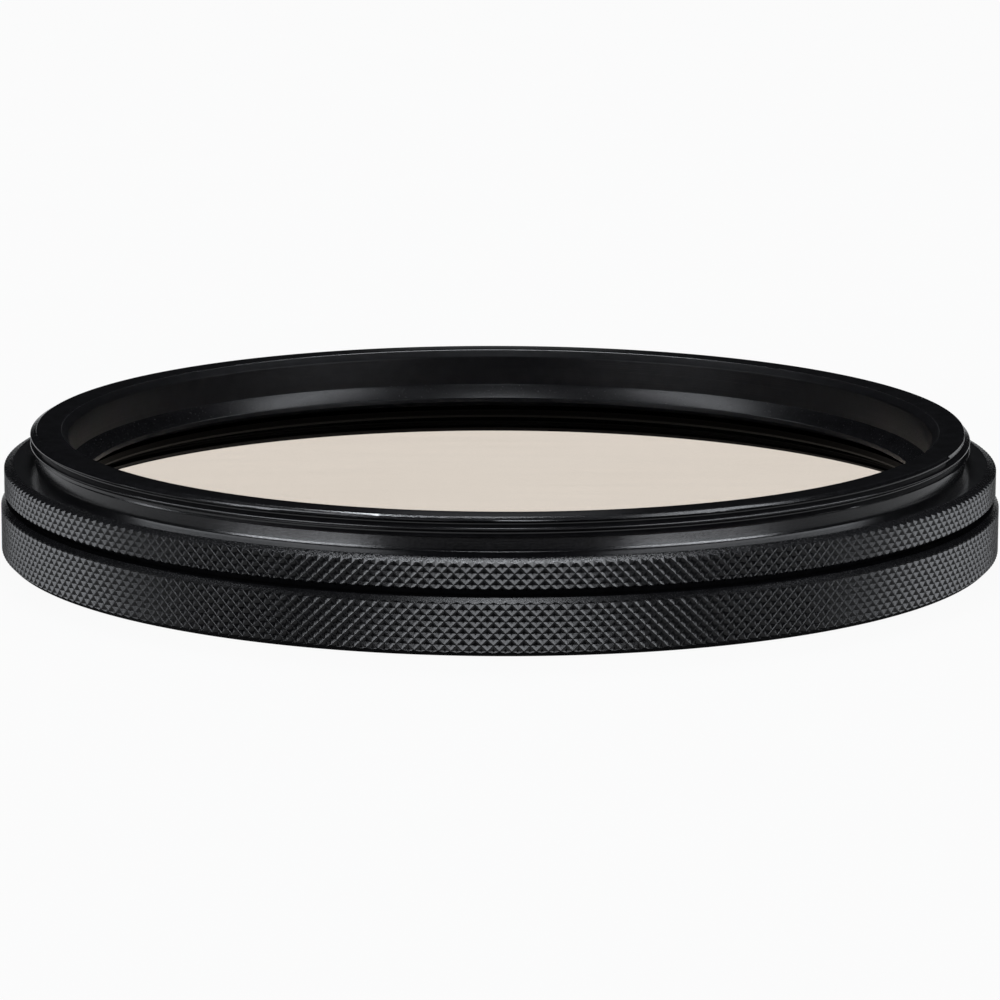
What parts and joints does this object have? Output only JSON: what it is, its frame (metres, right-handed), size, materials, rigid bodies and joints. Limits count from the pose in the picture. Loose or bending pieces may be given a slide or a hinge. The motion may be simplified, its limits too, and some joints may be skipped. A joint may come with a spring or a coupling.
{
  "type": "circular polarizing filter",
  "caption": "Rotating lens filter: a knurled front ring carries a cemented polarizing glass and turns endlessly in a knurled rear ring with a lens thread.",
  "frame": {"origin": "on the axis, at the front face that the filter lies on", "axes": "+Z along the optical axis, from the front face towards the lens; X and Y across"},
  "size_m": [0.087, 0.087, 0.0108],
  "materials": {
    "black_anodised": "turned, knurled and anodised satin black",
    "coated_glass": "polished and coated on the outer face",
    "polarizer_film": "stretched dichroic film",
    "retarder_film": "clear stretched film",
    "spring_steel": "drawn spring wire"
  },
  "bodies": {
    "rear_body": {"rear_ring": "black_anodised"},
    "front_body": {"front_ring": "black_anodised", "front_glass": "coated_glass", "polarizing_film": "polarizer_film", "quarter_wave_film": "retarder_film", "rear_glass": "coated_glass", "glass_retaining_ring": "black_anodised", "spring_wire_ring": "spring_steel"}
  },
  "joints": [
    {"name": "front_ring_turn", "type": "hinge", "parent": "rear_body", "child": "front_body", "pos_m": [0, 0, 0.0038], "axis": [0, 0, 1], "continuous": true}
  ]
}
